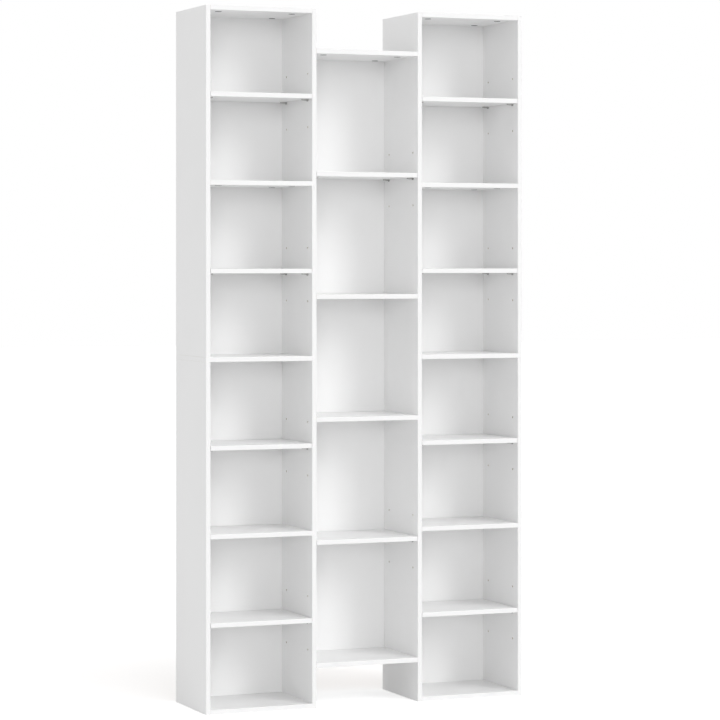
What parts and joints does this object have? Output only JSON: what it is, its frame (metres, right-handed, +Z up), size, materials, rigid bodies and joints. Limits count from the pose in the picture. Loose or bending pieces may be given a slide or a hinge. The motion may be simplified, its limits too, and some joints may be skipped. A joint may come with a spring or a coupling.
{
  "type": "open bookcase",
  "caption": "White open bookcase with tall outer bays and a shorter raised middle bay between them; fixed boards on cam locks, adjustable shelves on spoon pins.",
  "frame": {"origin": "on the floor, at the middle of the width and depth", "axes": "+Z up, +X to the viewer's right as seen from the front, front towards -Y"},
  "size_m": [0.886, 0.237, 1.8],
  "materials": {
    "white_board": "chipboard coated in white melamine, satin, with white edge band",
    "back_board": "thin hardboard, painted white in front, raw brown behind",
    "zinc_cam": "die-cast zinc, dull grey",
    "steel_bolt": "zinc-plated steel",
    "nickel_pin": "nickel-plated steel, satin",
    "beech_dowel": "raw beech"
  },
  "bodies": {
    "carcass": {"left_bottom_board": "white_board", "left_cam_bolts": "steel_bolt", "left_cam_locks": "zinc_cam", "left_inner_panel": "white_board", "left_lower_back_panel": "back_board", "left_lower_fixed_shelf": "white_board", "left_mid_board": "white_board", "left_outer_panel_lower": "white_board", "left_outer_panel_upper": "white_board", "left_panel_dowels": "beech_dowel", "left_shelf_pins": "nickel_pin", "left_top_board": "white_board", "left_upper_back_panel": "back_board", "left_upper_fixed_shelf": "white_board", "middle_back_panel": "back_board", "middle_bottom_board": "white_board", "middle_cam_bolts": "steel_bolt", "middle_cam_locks": "zinc_cam", "middle_lower_fixed_shelf": "white_board", "middle_shelf_pins": "nickel_pin", "middle_top_board": "white_board", "middle_upper_fixed_shelf": "white_board", "right_bottom_board": "white_board", "right_cam_bolts": "steel_bolt", "right_cam_locks": "zinc_cam", "right_inner_panel": "white_board", "right_lower_back_panel": "back_board", "right_lower_fixed_shelf": "white_board", "right_mid_board": "white_board", "right_outer_panel_lower": "white_board", "right_outer_panel_upper": "white_board", "right_panel_dowels": "beech_dowel", "right_shelf_pins": "nickel_pin", "right_top_board": "white_board", "right_upper_back_panel": "back_board", "right_upper_fixed_shelf": "white_board"},
    "left_adjustable_shelf_1": {"left_adjustable_shelf_1": "white_board"},
    "left_adjustable_shelf_2": {"left_adjustable_shelf_2": "white_board"},
    "left_adjustable_shelf_3": {"left_adjustable_shelf_3": "white_board"},
    "left_adjustable_shelf_4": {"left_adjustable_shelf_4": "white_board"},
    "middle_adjustable_shelf_1": {"middle_adjustable_shelf_1": "white_board"},
    "middle_adjustable_shelf_2": {"middle_adjustable_shelf_2": "white_board"},
    "right_adjustable_shelf_1": {"right_adjustable_shelf_1": "white_board"},
    "right_adjustable_shelf_2": {"right_adjustable_shelf_2": "white_board"},
    "right_adjustable_shelf_3": {"right_adjustable_shelf_3": "white_board"},
    "right_adjustable_shelf_4": {"right_adjustable_shelf_4": "white_board"}
  },
  "joints": [
    {"name": "left_adjustable_shelf_1_draw", "type": "slide", "parent": "carcass", "child": "left_adjustable_shelf_1", "axis": [0, -1, 0], "range_m": [0, 0.18]},
    {"name": "left_adjustable_shelf_2_draw", "type": "slide", "parent": "carcass", "child": "left_adjustable_shelf_2", "axis": [0, -1, 0], "range_m": [0, 0.18]},
    {"name": "left_adjustable_shelf_3_draw", "type": "slide", "parent": "carcass", "child": "left_adjustable_shelf_3", "axis": [0, -1, 0], "range_m": [0, 0.18]},
    {"name": "left_adjustable_shelf_4_draw", "type": "slide", "parent": "carcass", "child": "left_adjustable_shelf_4", "axis": [0, -1, 0], "range_m": [0, 0.18]},
    {"name": "middle_adjustable_shelf_1_draw", "type": "slide", "parent": "carcass", "child": "middle_adjustable_shelf_1", "axis": [0, -1, 0], "range_m": [0, 0.186]},
    {"name": "middle_adjustable_shelf_2_draw", "type": "slide", "parent": "carcass", "child": "middle_adjustable_shelf_2", "axis": [0, -1, 0], "range_m": [0, 0.186]},
    {"name": "right_adjustable_shelf_1_draw", "type": "slide", "parent": "carcass", "child": "right_adjustable_shelf_1", "axis": [0, -1, 0], "range_m": [0, 0.18]},
    {"name": "right_adjustable_shelf_2_draw", "type": "slide", "parent": "carcass", "child": "right_adjustable_shelf_2", "axis": [0, -1, 0], "range_m": [0, 0.18]},
    {"name": "right_adjustable_shelf_3_draw", "type": "slide", "parent": "carcass", "child": "right_adjustable_shelf_3", "axis": [0, -1, 0], "range_m": [0, 0.18]},
    {"name": "right_adjustable_shelf_4_draw", "type": "slide", "parent": "carcass", "child": "right_adjustable_shelf_4", "axis": [0, -1, 0], "range_m": [0, 0.18]}
  ]
}
